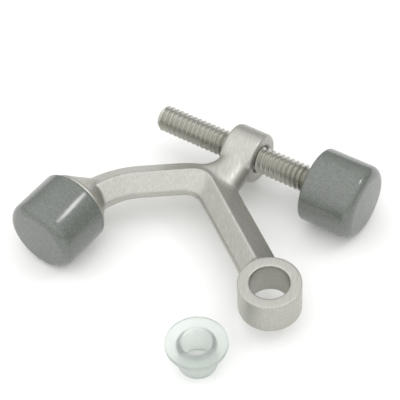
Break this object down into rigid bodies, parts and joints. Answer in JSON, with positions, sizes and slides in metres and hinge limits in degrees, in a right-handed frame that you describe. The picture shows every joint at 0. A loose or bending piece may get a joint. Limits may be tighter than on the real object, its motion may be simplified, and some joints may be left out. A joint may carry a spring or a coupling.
{
  "type": "hinge pin door stop",
  "caption": "Hinge pin door stop: a cast body with an eye for the hinge pin and ridged arms that meet in a bend, an adjusting screw through a hub, and rubber caps for door and trim.",
  "frame": {"origin": "middle of the eye's bore, on its axis and half way up", "axes": "+Z along the hinge pin; the arms lie in the XY plane, the eye's arm runs towards +Y and the long arm towards -X"},
  "size_m": [0.0843, 0.0748, 0.0176],
  "materials": {
    "satin_nickel": "satin nickel plate over a brushed casting",
    "plated_steel": "nickel-plated, with a cut thread",
    "grey_rubber": "moulded, satin",
    "clear_nylon": "moulded, milky and translucent"
  },
  "bodies": {
    "stop": {"stop_body": "satin_nickel", "arm_bumper": "grey_rubber", "pin_bush": "clear_nylon"},
    "bumper": {"screw_bumper": "grey_rubber"},
    "screw": {"adjusting_screw": "plated_steel"}
  },
  "joints": [
    {"name": "bumper_slide", "type": "slide", "parent": "stop", "child": "bumper", "axis": [0.8141, -0.5807, 0], "range_m": [-0.014, 0.019]},
    {"name": "screw_turn", "type": "hinge", "parent": "bumper", "child": "screw", "pos_m": [-0.00207, 0.04162, 0], "axis": [0.8141, -0.5807, 0], "range_deg": [-3970, 5387]}
  ],
  "couplings": [
    {"joint": "screw_turn", "follows": "bumper_slide", "rad_per_m": 4947.4}
  ]
}
